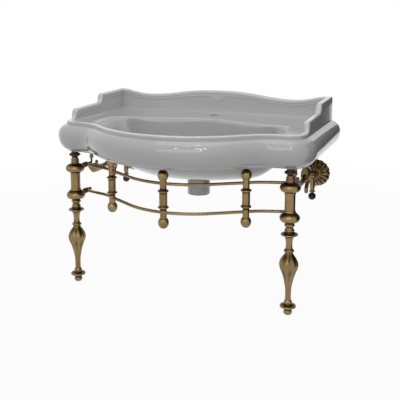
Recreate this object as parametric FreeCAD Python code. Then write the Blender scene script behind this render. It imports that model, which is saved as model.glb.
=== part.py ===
import FreeCAD, Part
import math
import os
from FreeCAD import Vector

# Console wash basin: one glazed casting on two turned brass legs, two bowed rails and
# two wall brackets. Millimetres. +Z up, +Y towards the wall, origin on the floor under
# the middle of the basin's bounding box.

# ---- basin, plan ----
basin_width = 900.0          # over the rolled rim
basin_depth = 620.0          # rolled front to wall
roll_reach = 30.0            # how far the rolled rim stands out from the lip line
bow_radius = 345.0           # middle of the front, along the lip line
bow_angle = 40.0             # where the bow turns into its straight flank, degrees
flank_length = 63.5          # straight run between the bow and the hollow shoulder
shoulder_radius = 130.0      # hollow curve beside each leg
corner_radius = 54.0         # front corners
# ---- basin, heights ----
lip_height = 17.0            # upright band below the roll
roll_height = 74.0
bead_height = 11.0           # bead that runs round inside the front roll
bead_width = 27.0
deck_rise = 5.0              # deck above the top of the roll
deck_thickness = 14.0
rim_wall = 24.0              # wall of the hollow underside
side_lip_taper = 11.0        # the side lips draw in this much towards the wall
# ---- upstand ----
upstand_thickness = 15.0
side_high_rise = 85.0        # high run above the roll's top, at the wall
side_low_rise = 50.0         # low run above the roll's top, at its back end
run_fall = 4.0               # each run falls this much towards the front
side_high_length = 189.0     # from the wall to the upper step
side_low_length = 367.0      # from the wall to the lower step
step_foot = 20.0             # forward sweep at the foot of each step
step_foot_rise = 13.0
back_hump_rise = 91.0        # middle of the back, above the roll's top
back_dip_rise = 68.0         # lowest part of the back
back_hump_half = 190.0
back_dip_x = 290.0
back_climb_x = 365.0
# ---- bowl ----
bowl_half_width = 322.0
bowl_front_land = 3.0        # between the bead and the bowl's edge
bowl_back_land = 157.0       # wall to the bowl's back edge, at the middle
bowl_side_land = 220.0       # wall to the bowl's back edge, at its shoulders
bowl_depth = 184.0
bowl_wall = 13.0
waste_from_wall = 223.0
waste_bore = 45.0
waste_seat = 64.0
waste_seat_depth = 4.0
spigot_diameter = 80.0
spigot_length = 60.0
overflow_diameter = 12.0
overflow_drop = 16.0         # below the deck
overflow_from_wall = 345.0
overflow_length = 40.0
tap_bore = 35.0
tap_from_wall = 70.0
fixing_bore = 14.0
fixing_spacing = 280.0
fixing_below_deck = 52.0
boss_diameter = 62.0
# ---- legs ----
leg_spacing = 756.0
leg_behind_lip = 167.0       # from the lip line at the middle of the front
leg_lengths = dict(foot=19.7, baluster=166.5, shaft=49.5, collar=45.0, lower_bulb=33.0,
                   column=63.0, upper_bulb=31.0, neck=28.0)
rod_diameter = 10.0
rod_clearance = 0.2          # radial, rod in the turnings
running_clearance = 0.06     # radial, levelling stem in its foot
gap = 0.3                    # between pieces of different bodies
glide_diameter = 27.5
glide_height = 16.0
glide_stem = 26.0
pad_height = 15.0
nut_width = 17.0
nut_height = 8.0
# ---- rails and posts ----
rail_diameter = 10.0
rail_clearance = 0.2
rail_bow_radius = 260.0
rail_bow_angle = 32.6
rail_sweep_radius = 150.0
rail_end_angle = 17.0
rail_front = 100.0           # middle of the rails, forward of the legs
rail_end_back = 52.0         # rail ends, behind the legs
post_inset = 85.0            # side posts, in from the bowl's half width
post_ball = 34.5
post_collar = 35.0
post_collar_height = 5.0
post_sleeve = 25.5
post_shaft = 21.5
post_top_rise = 27.0         # upper balls, above the upper rail
post_bottom_drop = 34.0      # lower balls, below the lower rail
post_collar_drop = 24.0      # upper collars, below the upper rail
post_collar_rise = 17.0      # lower collars, above the lower rail
rail_above_joint = dict(upper_bulb=16.0, lower_bulb=19.0)
stub_radius = 5.0            # pins that come forward into the legs
stub_seat = 14.0
stub_length = 76.0
stub_nut_wall = 1.8
stub_ball = 13.0
rail_boss_diameter = 19.0
rail_boss_length = 17.0
# ---- wall brackets ----
rosette_diameter = 100.0
rosette_depth = 20.0
rosette_rim = 5.0
rosette_drop = 45.0          # below the upper rail
bracket_x = 370.0
ring_from_wall = 183.0       # cuff of three oval ribs
ring_drop = 14.0             # below the upper rail
ring_tall = 56.0
ring_wide = 28.0
ring_rib = 8.0
strut_behind_leg = 96.0
strut_diameter = 12.0
pendant_from_wall = 66.0
pendant_ball = 27.0
pendant_drop = 72.0          # below the rosette's middle
stud_bore = 10.2
stud_bore_length = 24.0
rosette_bore = 13.0
leaf_width = 14.0
leaf_from_wall = 160.0
scroll_width = 18.0
knob_behind_leg = 131.0
knob_ball = 12.0
knob_stem = 7.0

# ---- worked out from the above ----
wall_y = basin_depth / 2
front_y = roll_reach - basin_depth / 2
leg_y = front_y + leg_behind_lip
leg_x = leg_spacing / 2
leg_joints = {}
joint_z = glide_height + gap
for turning, length in leg_lengths.items():
    leg_joints[turning] = joint_z
    joint_z += length
leg_joints["pad"] = joint_z
lip_z = joint_z + pad_height
rail_levels = dict(upper=leg_joints["upper_bulb"] + rail_above_joint["upper_bulb"],
                   lower=leg_joints["lower_bulb"] + rail_above_joint["lower_bulb"])
rosette_z = rail_levels["upper"] - rosette_drop
ring_z = rail_levels["upper"] - ring_drop
pendant_z = rosette_z - pendant_drop
strut_y = leg_y + strut_behind_leg
post_x = bowl_half_width - post_inset
side_x = basin_width / 2 - roll_reach
roll_z = lip_z + lip_height
rim_z = roll_z + roll_height
deck_z = rim_z + deck_rise
waste_y = wall_y - waste_from_wall
bowl_z = deck_z - bowl_depth
spigot_z = bowl_z - bowl_wall - spigot_length

os.makedirs("parts", exist_ok=True)


def save(name, shape):
    solids = shape.Solids
    body = solids[0] if len(solids) == 1 else Part.makeCompound(solids)
    body.exportStep("parts/" + name + ".step")


def v(x, y, z=0.0):
    return Vector(x, y, z)


def arc(a, m, b):
    return Part.Arc(a, m, b).toShape()


def line(a, b):
    return Part.LineSegment(a, b).toShape()


def cylinder(radius, low, high, x=0.0, y=0.0):
    return Part.makeCylinder(radius, high - low, v(x, y, low))


def rod_y(radius, start, end, x, z):
    return Part.makeCylinder(radius, end - start, v(x, start, z), v(0, 1, 0))


def fuse(shapes):
    return shapes[0].multiFuse(shapes[1:]).removeSplitter()


# ---- lip line: (kind, centre or start, ...) from the middle of the front to the wall ----

def lip_points(offset):
    """Ends and centres of the half line, moved outwards by offset."""
    t = math.radians(bow_angle)
    bow_c = v(0, front_y + bow_radius)
    bow_r = bow_radius + offset
    bow_end = bow_c + v(math.sin(t), -math.cos(t)) * bow_r
    flank_end = bow_end + v(math.cos(t), math.sin(t)) * flank_length
    hollow_r = shoulder_radius - offset
    hollow_c = flank_end + v(math.sin(t), -math.cos(t)) * hollow_r
    hollow_end = hollow_c + v(0, hollow_r)
    corner_r = corner_radius + offset
    corner_c = v(side_x - corner_radius, hollow_end.y + corner_r)
    corner_end = corner_c + v(corner_r, 0)
    return dict(bow=(bow_c, bow_r), bow_end=bow_end, flank_end=flank_end,
                hollow=(hollow_c, hollow_r), hollow_end=hollow_end,
                corner=(corner_c, corner_r), corner_end=corner_end)


def mirrored(point):
    return v(-point.x, point.y, point.z)


def on_circle(centre, radius, degrees):
    a = math.radians(degrees)
    return centre + v(math.cos(a), math.sin(a)) * radius


def half_lip_edges(offset):
    p = lip_points(offset)
    hollow_c, hollow_r = p["hollow"]
    corner_c, corner_r = p["corner"]
    corner_start = v(corner_c.x, p["hollow_end"].y)
    side_end = v(corner_c.x + corner_r, wall_y)
    return [
        (line, p["bow_end"], p["flank_end"]),
        (arc, p["flank_end"], on_circle(hollow_c, hollow_r, 90 + bow_angle / 2), p["hollow_end"]),
        (line, p["hollow_end"], corner_start),
        (arc, corner_start, on_circle(corner_c, corner_r, -45), p["corner_end"]),
        (line, p["corner_end"], side_end),
    ]


def lip_face(offset, z, back_inset=0.0):
    p = lip_points(offset)
    back = wall_y - back_inset
    edges = [arc(mirrored(p["bow_end"]), v(0, front_y - offset), p["bow_end"])]
    for kind, *points in half_lip_edges(offset):
        if points[-1].y > back:
            points[-1] = v(points[-1].x, back)
        edges.append(kind(*points))
        edges.append(kind(*[mirrored(q) for q in points]))
    side = p["corner_end"].x
    edges.append(line(v(side, back), v(-side, back)))
    wire = Part.Wire(Part.__sortEdges__(edges))
    face = Part.Face(wire)
    face.translate(v(0, 0, z))
    return face


def lip_slab(offset, low, high, back_inset=0.0):
    return lip_face(offset, low, back_inset).extrude(v(0, 0, high - low))


def section_face(section, at, outward):
    """Puts a closed section of (offset, z) points and arcs in the plane through at."""
    def place(q):
        return at + outward * q[0] + v(0, 0, q[1])
    edges = []
    start = section[0]
    for step in section[1:]:
        if len(step) == 4:
            edges.append(arc(place(start), place(step[:2]), place(step[2:])))
        else:
            edges.append(line(place(start), place(step)))
        start = step[-2:]
    return Part.Face(Part.Wire(edges))


def carried(section, with_sides):
    """Carries a section along the whole lip line: turned round arcs, drawn along lines."""
    p = lip_points(0)
    t = math.radians(bow_angle)
    down = v(0, 0, 1)
    corner_c = p["corner"][0]
    bow = section_face(section, mirrored(p["bow_end"]), v(-math.sin(t), -math.cos(t)))
    pieces = [bow.revolve(p["bow"][0], down, 2 * bow_angle)]
    for side in (1, -1):
        def flip(q, side=side):
            return v(side * q.x, q.y)
        flank = section_face(section, flip(p["bow_end"]), v(side * math.sin(t), -math.cos(t)))
        pieces.append(flank.extrude(flip(p["flank_end"] - p["bow_end"])))
        hollow = section_face(section, flip(p["flank_end"]), v(side * math.sin(t), -math.cos(t)))
        pieces.append(hollow.revolve(flip(p["hollow"][0]), down, -side * bow_angle))
        front = section_face(section, flip(p["hollow_end"]), v(0, -1))
        if corner_c.x - p["hollow_end"].x > 0.01:
            pieces.append(front.extrude(v(side * (corner_c.x - p["hollow_end"].x), 0)))
        corner = section_face(section, v(side * corner_c.x, p["hollow_end"].y), v(0, -1))
        pieces.append(corner.revolve(flip(corner_c), down, side * 90))
        if with_sides:
            run = section_face(section, flip(p["corner_end"]), v(side, 0))
            pieces.append(run.extrude(v(0, wall_y - p["corner_end"].y)))
    return pieces


def roll_section():
    mid = (roll_z + rim_z) / 2
    root = -8.0
    return [(root, roll_z), (0, roll_z), (roll_reach, mid, 0, rim_z), (root, rim_z), (root, roll_z)]


def bead_section():
    top = rim_z + bead_height
    edge = 4.0
    low = rim_z - 6.0
    inner = -bead_width
    return [
        (-0.5, low), (-0.5, top - edge), (-0.5 - edge * 0.3, top - edge * 0.3, -0.5 - edge, top),
        (inner + edge, top), (inner + edge * 0.3, top - edge * 0.3, inner, top - edge),
        (inner, low), (-0.5, low),
    ]


def side_upstand(side):
    """Stepped side wall, drawn in the Y-Z plane and given its thickness along X."""
    x = side * side_x
    high = rim_z + side_high_rise
    low = rim_z + side_low_rise
    y1 = wall_y - side_high_length
    y2 = wall_y - side_low_length
    root = rim_z - 12.0
    base = rim_z + bead_height
    ease = 6.0

    def q(y, z):
        return v(x, y, z)

    def ease_down(y, z):
        m = ease * 0.3
        return arc(q(y + ease, z), q(y + m, z - m), q(y, z - ease))

    edges = [line(q(wall_y, root), q(wall_y, high)),
             line(q(wall_y, high), q(y1 + ease, high - run_fall))]
    edges.append(ease_down(y1, high - run_fall))
    edges += foot_of_step(q, y1, high - run_fall - ease, low)
    edges.append(line(q(y1 - step_foot, low), q(y2 + ease, low - run_fall)))
    edges.append(ease_down(y2, low - run_fall))
    edges += foot_of_step(q, y2, low - run_fall - ease, base)
    edges.append(line(q(y2 - step_foot, base), q(y2 - step_foot, root)))
    edges.append(line(q(y2 - step_foot, root), q(wall_y, root)))
    return Part.Face(Part.Wire(edges)).extrude(v(-side * upstand_thickness, 0, 0))


def foot_of_step(q, y, start_z, floor_z):
    bend_z = floor_z + step_foot_rise
    m = 0.3
    mid_y = y - step_foot * m
    mid_z = floor_z + step_foot_rise * m
    return [
        line(q(y, start_z), q(y, bend_z)),
        arc(q(y, bend_z), q(mid_y, mid_z), q(y - step_foot, floor_z)),
    ]


def back_upstand():
    """Back wall: a long hump between two dips, rising again to the corners."""
    top = rim_z + back_hump_rise
    dip = rim_z + back_dip_rise
    corner = rim_z + side_high_rise
    root = rim_z - 12.0
    bend = dip + (top - dip) * 0.33
    climb = dip + (corner - dip) * 0.52
    edges = [arc(wv(-back_hump_half, bend), wv(0, top), wv(back_hump_half, bend))]
    curves = [
        ((back_hump_half, bend), (back_dip_x, dip), dip + 2.0),
        ((back_dip_x, dip), (back_climb_x, climb), dip + 2.3),
        ((back_climb_x, climb), (side_x, corner), corner - 2.5),
    ]
    for s in (1, -1):
        for start, end, middle_z in curves:
            middle_x = (start[0] + end[0]) / 2
            edges.append(arc(wv(s * start[0], start[1]), wv(s * middle_x, middle_z), wv(s * end[0], end[1])))
        edges.append(line(wv(s * side_x, corner), wv(s * side_x, root)))
    edges.append(line(wv(-side_x, root), wv(side_x, root)))
    face = Part.Face(Part.Wire(Part.__sortEdges__(edges)))
    return face.extrude(v(0, -upstand_thickness, 0))


def wv(x, z):
    return v(x, wall_y, z)


# ---- bowl: one outline, drawn in towards the waste as it goes down ----

def bowl_rim():
    front = front_y + bead_width + bowl_front_land
    back = wall_y - bowl_back_land
    shoulder = wall_y - bowl_side_land
    w = bowl_half_width
    mid = (shoulder + front) / 2
    return [
        (0, front), (w * 0.28, front + 12.0), (w * 0.55, front + 50.0), (w * 0.80, front + 119.0),
        (w * 0.95, mid + 35.0), (w, shoulder - 90.0), (w * 0.99, shoulder - 32.0),
        (w * 0.91, shoulder - 3.0), (w * 0.78, shoulder - 12.0), (w * 0.62, shoulder - 9.0),
        (w * 0.46, shoulder + 14.0), (w * 0.25, back - 24.0), (0, back),
    ]


bowl_levels = [
    # share of the depth, width, front, back
    (0.00, 1.00, 1.00, 1.00),
    (0.12, 0.975, 0.965, 0.97),
    (0.35, 0.925, 0.88, 0.92),
    (0.58, 0.86, 0.745, 0.86),
    (0.72, 0.78, 0.63, 0.79),
    (0.85, 0.64, 0.47, 0.66),
    (0.95, 0.42, 0.28, 0.48),
    (1.00, 0.16, 0.11, 0.24),
]


def bowl_section(level, grow, z):
    depth, wide, fore, aft = level
    half = []
    for x, y in bowl_rim():
        reach = aft if y > waste_y else fore
        p = v(x * wide, (y - waste_y) * reach)
        p = p * (1 + grow / max(p.Length, 1.0))
        half.append(v(p.x, waste_y + p.y, z))
    left = [mirrored(p) for p in reversed(half[1:-1])]
    curve = Part.BSplineCurve()
    curve.interpolate(half + left, PeriodicFlag=True)
    return Part.Wire([curve.toShape()])


def bowl_solid(grow, top):
    wires = [bowl_section(bowl_levels[0], grow, top)]
    for level in bowl_levels[1:]:
        wires.append(bowl_section(level, grow, deck_z - level[0] * bowl_depth - grow))
    return Part.makeLoft(wires, True, False)


def basin():
    casting = fuse([lip_slab(0, lip_z, rim_z)] + carried(roll_section(), True))
    deck = lip_slab(-bead_width + 1.0, rim_z - 1.0, deck_z)
    casting = fuse([casting, deck] + carried(bead_section(), False))
    casting = fuse([casting, side_upstand(1), side_upstand(-1), back_upstand()])
    hollow = lip_slab(-rim_wall, lip_z - 1.0, deck_z - deck_thickness, rim_wall)
    shell = bowl_solid(bowl_wall, deck_z - deck_thickness + 1.0)
    keep = [shell]
    inside = lip_slab(-2.0, lip_z, deck_z)
    for x in (leg_x, -leg_x):
        for y in (leg_y, strut_y):
            keep.append(cylinder(boss_diameter / 2, lip_z, deck_z - 2.0, x, y).common(inside))
    casting = casting.cut(hollow).cut(Part.makeCompound([lip_wedge(1), lip_wedge(-1)]))
    spigot = cylinder(spigot_diameter / 2, spigot_z, bowl_z + 2.0, 0, waste_y)
    casting = fuse([casting] + keep + [spigot])
    casting = casting.cut(bowl_solid(0.0, deck_z + 0.5))
    return casting.cut(Part.makeCompound(basin_bores()))


def lip_wedge(side):
    """Draws the side lip in towards the wall, under the roll."""
    start = lip_points(0)["corner_end"].y + 20.0
    x = side * side_x
    ring = [v(x, start), v(x, wall_y + 1.0), v(x - side * side_lip_taper, wall_y + 1.0), v(x, start)]
    wedge = Part.Face(Part.makePolygon(ring)).extrude(v(0, 0, lip_height + 1.0))
    wedge.translate(v(0, 0, lip_z - 1.0))
    return wedge


def basin_bores():
    bores = [cylinder(waste_bore / 2, spigot_z - 1.0, deck_z, 0, waste_y)]
    seat = Part.makeCone(waste_bore / 2, waste_seat / 2, waste_seat_depth + 2.0,
                         v(0, waste_y, bowl_z - waste_seat_depth))
    bores.append(seat)
    bores.append(cylinder(tap_bore / 2, rim_z - 30.0, deck_z + 1.0, 0, wall_y - tap_from_wall))
    fixing_z = deck_z - fixing_below_deck
    for x in (fixing_spacing / 2, -fixing_spacing / 2):
        bores.append(rod_y(fixing_bore / 2, wall_y - rim_wall - 1.0, wall_y + 1.0, x, fixing_z))
    mouth = v(bowl_wall * 2 - bowl_half_width, wall_y - overflow_from_wall, deck_z - overflow_drop)
    bores.append(Part.makeCylinder(overflow_diameter / 2, overflow_length, mouth, v(-1, 0, -0.2)))
    return bores


# ---- turned work ----

def turned(profile, x, y, bore=0.0):
    """Turns (radius, z) steps, a 4-tuple being an arc by its middle and end, about a vertical axis."""
    low = profile[0][1]
    high = profile[-1][-1]
    edges = []
    start = (bore, low)
    for step in profile + [(bore, high), (bore, low)]:
        end = step[-2:]
        if abs(end[0] - start[0]) + abs(end[1] - start[1]) < 1e-6:
            continue
        a, b = v(start[0], 0, start[1]), v(end[0], 0, end[1])
        edges.append(arc(a, v(step[0], 0, step[1]), b) if len(step) == 4 else line(a, b))
        start = end
    solid = Part.Face(Part.Wire(edges)).revolve(v(0, 0, 0), v(0, 0, 1), 360)
    solid.translate(v(x, y, 0))
    return solid


# (radius, rise) steps from the foot of each turning; the rises are stretched to its length
leg_turnings = {
    "foot": [(11.5, 0.0), (12.4, 5.2), (24.5, 9.7), (25.6, 12.3, 24.5, 14.9), (15.0, 16.7), (12.5, 19.7)],
    "baluster": [(12.5, 0.0), (13.0, 6.7), (9.4, 19.0, 9.2, 33.5), (10.0, 50.0, 12.4, 64.0),
                 (16.8, 84.0, 22.8, 102.0), (30.6, 127.0, 26.5, 148.0), (20.0, 160.0, 11.6, 166.5)],
    "shaft": [(11.6, 0.0), (14.0, 2.3), (16.4, 5.5, 14.0, 8.9), (11.6, 11.5),
              (10.2, 27.8, 13.0, 45.5), (14.5, 49.5)],
    "collar": [(14.5, 0.0), (17.0, 5.0), (26.4, 7.6), (27.4, 10.0, 26.4, 12.4), (17.0, 13.5),
               (17.9, 16.5, 16.0, 20.0), (11.2, 27.0, 11.6, 32.0), (15.0, 34.4),
               (16.0, 37.6, 15.0, 41.0), (12.8, 45.0)],
    "lower_bulb": [(12.8, 0.0), (20.0, 3.0), (31.6, 16.0, 26.5, 26.0), (22.0, 30.2), (18.0, 33.0)],
    "column": [(18.0, 0.0), (18.6, 2.0, 18.0, 4.0), (16.4, 5.5), (16.4, 56.0), (17.4, 57.0),
               (17.9, 58.8, 17.4, 60.6), (16.4, 63.0)],
    "upper_bulb": [(16.4, 0.0), (20.5, 2.0), (32.2, 14.5, 26.5, 24.5), (20.0, 28.4), (12.4, 31.0)],
    "neck": [(12.4, 0.0), (12.8, 3.0), (14.6, 6.4, 12.8, 9.0), (12.0, 10.0), (13.9, 13.0, 12.0, 16.0),
             (10.4, 19.6, 12.6, 24.0), (16.0, 28.0)],
}


def leg_profile(name):
    steps = leg_turnings[name]
    stretch = leg_lengths[name] / steps[-1][-1]
    foot = leg_joints[name]
    profile = []
    for step in steps:
        numbers = []
        for radius, rise in zip(step[::2], step[1::2]):
            numbers += [radius, foot + rise * stretch]
        profile.append(tuple(numbers))
    return profile


def leg(side, label):
    x = side * leg_x
    bore = rod_diameter / 2 + rod_clearance
    stem_bore = rod_diameter / 2 + running_clearance
    for name in leg_turnings:
        piece = turned(leg_profile(name), x, leg_y, stem_bore if name == "foot" else bore)
        if name == "neck":
            seat = leg_joints["pad"] - nut_height - 1.0
            piece = piece.cut(cylinder(nut_width * 0.6, seat, lip_z, x, leg_y))
        if name in ("upper_bulb", "lower_bulb"):
            piece = piece.cut(cross_bore(side * bracket_x, name))
        save(label + "_leg_" + name, piece)
    save(label + "_leg_pad", pad(x))
    save(label + "_leg_rod", tie_rod(x))
    save(label + "_glide", glide(x))


def cross_bore(x, name):
    z = rail_levels["upper" if name == "upper_bulb" else "lower"]
    return rod_y(stub_radius, leg_y + stub_seat, leg_y + 60.0, x, z)


def pad(x):
    low = leg_joints["pad"]
    return turned([(18.0, low), (19.5, low + 1.5), (19.5, low + 3.5), (12.0, low + 8.0), (11.0, lip_z)], x, leg_y)


def hexagon(width, height, x, y, z):
    r = width / math.sqrt(3)
    turns = [a * math.pi / 3 for a in range(7)]
    points = [v(x + r * math.cos(a), y + r * math.sin(a), z) for a in turns]
    return Part.Face(Part.makePolygon(points)).extrude(v(0, 0, height))


def tie_rod(x):
    seat = leg_joints["pad"] - nut_height - 1.0
    low = glide_height + gap + glide_stem + 3.0
    rod = cylinder(rod_diameter / 2, low, seat + nut_height, x, leg_y)
    return fuse([rod, hexagon(nut_width, nut_height, x, leg_y, seat)])


def glide(x):
    top = glide_height + glide_stem
    flat = glide_diameter * 0.22
    return turned([(flat, 0.0), (glide_diameter / 2, glide_height * 0.55, glide_diameter * 0.42, glide_height),
                   (rod_diameter / 2, glide_height), (rod_diameter / 2, top)], x, leg_y)


# ---- rails, posts and the studs that hold the rail ends ----

def rail_plan():
    t = math.radians(rail_bow_angle)
    e = math.radians(rail_end_angle)
    centre = v(0, leg_y - rail_front + rail_bow_radius)
    bow_end = centre + v(math.sin(t), -math.cos(t)) * rail_bow_radius
    end = v(bracket_x - rail_boss_diameter / 2 - 0.1, leg_y + rail_end_back)
    turn = v(math.sin(t) - math.sin(e), math.cos(e) - math.cos(t)) * rail_sweep_radius
    rest = end - bow_end - turn
    run = (rest.x * math.sin(e) - rest.y * math.cos(e)) / math.sin(e - t)
    sweep_start = bow_end + v(math.cos(t), math.sin(t)) * run
    sweep_end = sweep_start + turn
    sweep_c = sweep_start + v(math.sin(t), -math.cos(t)) * rail_sweep_radius
    half = (90 + rail_bow_angle + 90 + rail_end_angle) / 2
    sweep_mid = on_circle(sweep_c, rail_sweep_radius, half)
    return bow_end, sweep_start, sweep_mid, sweep_end, end


def rail(z, radius):
    bow_end, sweep_start, sweep_mid, sweep_end, end = rail_plan()
    front = v(0, leg_y - rail_front)
    right = [line(bow_end, sweep_start), arc(sweep_start, sweep_mid, sweep_end), line(sweep_end, end)]
    left = [line(mirrored(end), mirrored(sweep_end)),
            arc(mirrored(sweep_end), mirrored(sweep_mid), mirrored(sweep_start)),
            line(mirrored(sweep_start), mirrored(bow_end))]
    path = Part.Wire(left + [arc(mirrored(bow_end), front, bow_end)] + right)
    path.translate(v(0, 0, z))
    start = mirrored(end) + v(0, 0, z)
    along = mirrored(sweep_end) - mirrored(end)
    ring = Part.Wire([Part.Circle(start, along, radius).toShape()])
    return path.makePipeShell([ring], True, False)


def post_places():
    bow_end, sweep_start = rail_plan()[:2]
    slope = (sweep_start.y - bow_end.y) / (sweep_start.x - bow_end.x)
    side_y = bow_end.y + (post_x - bow_end.x) * slope
    return [("left", -post_x, side_y), ("middle", 0.0, leg_y - rail_front), ("right", post_x, side_y)]


def post(label, x, y, rails):
    r = post_shaft / 2
    c = post_collar / 2
    s = post_sleeve / 2
    h = post_collar_height / 2
    neck = post_ball / 2 - 2.0
    top, bottom = rail_levels["upper"] + post_top_rise, rail_levels["lower"] - post_bottom_drop
    low, high = bottom + neck, top - neck
    a, b = rail_levels["lower"] + post_collar_rise, rail_levels["upper"] - post_collar_drop
    profile = [(r, low), (r, a - h), (c - 1.0, a - h), (c, a, c - 1.0, a + h), (s, a + h), (s, b - h),
               (c - 1.0, b - h), (c, b, c - 1.0, b + h), (r, b + h), (r, high)]
    shaft = turned(profile, x, y).cut(rails)
    save(label + "_post", shaft)
    ball = Part.makeSphere(post_ball / 2, v(x, y, top))
    save(label + "_post_top_ball", ball.cut(cylinder(post_ball, top - post_ball, high, x, y)))
    ball = Part.makeSphere(post_ball / 2, v(x, y, bottom))
    save(label + "_post_bottom_ball", ball.cut(cylinder(post_ball, low, bottom + post_ball, x, y)))


def rail_boss(side, z):
    y = leg_y + rail_end_back
    half = rail_boss_length / 2
    ring = rod_y(rail_boss_diameter / 2, y - half, y + half, side * bracket_x, z)
    return ring.cut(rod_y(stub_radius + rod_clearance, y - half - 1, y + half + 1, side * bracket_x, z))


def lower_stub(side):
    x = side * bracket_x
    z = rail_levels["lower"]
    end = leg_y + stub_length
    pin = rod_y(stub_radius, leg_y + stub_seat, end, x, z)
    nut = rod_y(stub_radius + stub_nut_wall, leg_y + rail_end_back + rail_boss_length / 2, end, x, z)
    return fuse([pin, nut, Part.makeSphere(stub_ball / 2, v(x, end + 4.0, z))])


def rails_and_posts():
    thick = []
    bosses = []
    for name, z in rail_levels.items():
        save(name + "_rail", rail(z, rail_diameter / 2))
        thick.append(rail(z, rail_diameter / 2 + rail_clearance))
        for side in (1, -1):
            bosses.append(rail_boss(side, z))
    cutter = Part.makeCompound(thick)
    for label, x, y in post_places():
        post(label, x, y, cutter)
    save("rail_end_bosses", Part.makeCompound([b.cut(cutter) for b in bosses]))
    save("rail_end_studs", Part.makeCompound([lower_stub(1), lower_stub(-1)]))


# ---- wall brackets ----

def cuff_front():
    return wall_y - ring_from_wall - ring_rib * 1.5


def plate(points, width):
    """Closed curve through (y, z) points, given its width along X."""
    curve = Part.BSplineCurve()
    curve.interpolate([v(-width / 2, y, z) for y, z in points], PeriodicFlag=True)
    return Part.Face(Part.Wire([curve.toShape()])).extrude(v(width, 0, 0))


def oval(y, z, wide, tall):
    """Oval wire in the plane across the arm."""
    ring = Part.Ellipse(v(0, 0, 0), max(wide, tall) / 2, min(wide, tall) / 2).toShape()
    ring.rotate(v(0, 0, 0), v(1, 0, 0), 90)
    if tall > wide:
        ring.rotate(v(0, 0, 0), v(0, 1, 0), 90)
    ring.translate(v(0, y, z))
    return Part.Wire([ring])


def scroll_outline():
    """Leaf scroll: its upper line back to the cuff, then its under line forward again."""
    rear = cuff_front()
    y = leg_y
    z = rail_levels["upper"]
    upper = [(y + 66.0, z + 5.0), (y + 83.0, z + 3.0), (y + 101.0, z - 4.0), (y + 131.0, z - 10.0),
             (y + 155.0, z - 18.0), (y + 183.0, z - 20.0), (rear - 12.0, z - 14.0), (rear + 4.0, z - 8.0)]
    under = [(rear + 4.0, z - 27.0), (rear - 14.0, z - 33.0), (y + 173.0, z - 39.0), (y + 140.0, z - 42.0),
             (y + 108.0, z - 40.0), (y + 87.0, z - 26.0), (y + 72.0, z - 10.0), (y + 66.0, z - 5.0)]
    return upper + under


def front_scroll():
    z = rail_levels["upper"]
    pin = rod_y(stub_radius, leg_y + stub_seat, strut_y + strut_diameter, 0, z)
    return fuse([plate(scroll_outline(), scroll_width), pin])


def scroll_knob():
    y = leg_y + knob_behind_leg
    z = rail_levels["upper"] - 6.0
    stem = cylinder(knob_stem / 2, z - knob_stem * 2, z, 0, y)
    return stem.fuse(Part.makeSphere(knob_ball / 2, v(0, y, z + 2.0)))


def rear_arm():
    """Bell from the cuff back and down to the rosette."""
    start = wall_y - rosette_depth
    front = cuff_front() + ring_rib * 3
    length = start - front
    drop = ring_z - rosette_z
    rings = []
    for along, wide, tall, fallen in ((0.0, 0.92, 0.90, 0.0), (0.30, 1.0, 0.76, 0.20), (0.62, 0.86, 0.54, 0.72),
                                      (0.85, 0.86, 0.46, 0.97), (1.0, 0.92, 0.47, 1.0)):
        rings.append(oval(front + along * length, ring_z - fallen * drop, ring_wide * wide, ring_tall * tall))
    arm = Part.makeLoft(rings, True, False)
    return arm.cut(rod_y(stud_bore / 2, start - stud_bore_length, wall_y, 0, rosette_z))


def cuff():
    start = cuff_front()
    core = Part.Face(oval(start, ring_z, ring_wide * 0.86, ring_tall * 0.92))
    parts = [core.extrude(v(0, ring_rib * 3, 0))]
    for i, reach in ((0, 0.95), (1, 1.0), (2, 0.95)):
        rib = Part.Face(oval(start + (i + 0.15) * ring_rib, ring_z, ring_wide * reach, ring_tall * reach))
        parts.append(rib.extrude(v(0, ring_rib * 0.7, 0)))
    return fuse(parts)


def rosette():
    r = rosette_diameter / 2
    edges = [line(v(rosette_bore / 2, 0, 0), v(r, 0, 0)), line(v(r, 0, 0), v(r, rosette_rim, 0)),
             arc(v(r, rosette_rim, 0), v(r * 0.62, rosette_depth * 0.86, 0), v(r * 0.26, rosette_depth, 0)),
             line(v(r * 0.26, rosette_depth, 0), v(rosette_bore / 2, rosette_depth, 0)),
             line(v(rosette_bore / 2, rosette_depth, 0), v(rosette_bore / 2, 0, 0))]
    dish = Part.Face(Part.Wire(edges)).revolve(v(0, 0, 0), v(0, 1, 0), 360)
    dish.rotate(v(0, 0, 0), v(0, 0, 1), 180)
    dish.translate(v(0, wall_y, rosette_z))
    return dish


def strut():
    """Stands on the scroll's pin and carries the basin behind the leg."""
    r = strut_diameter / 2
    z = rail_levels["upper"]
    return turned([(r * 0.65, z + stub_radius * 0.4), (r * 0.65, z + 14.0), (r * 1.25, z + 18.0),
                   (r * 1.25, z + 21.0), (r, z + 24.0), (r * 1.05, lip_z - 6.0), (r * 1.6, lip_z - 4.0),
                   (r * 1.6, lip_z)], 0, strut_y)


def pendant():
    r = pendant_ball / 2
    z = pendant_z + r
    return turned([(r * 0.45, z - 2.0), (6.0, z + 1.5), (11.0, z + 3.0), (11.0, z + 6.0), (7.0, z + 8.0),
                   (9.6, z + 26.5, 7.6, z + 44.5), (7.0, z + 52.5)], 0, wall_y - pendant_from_wall)


def hanging_ball():
    y = wall_y - pendant_from_wall
    top = pendant_z + pendant_ball / 2
    ball = Part.makeSphere(pendant_ball / 2, v(0, y, pendant_z))
    return ball.cut(cylinder(pendant_ball, top - 2.0, top + 1.0, 0, y))


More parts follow.
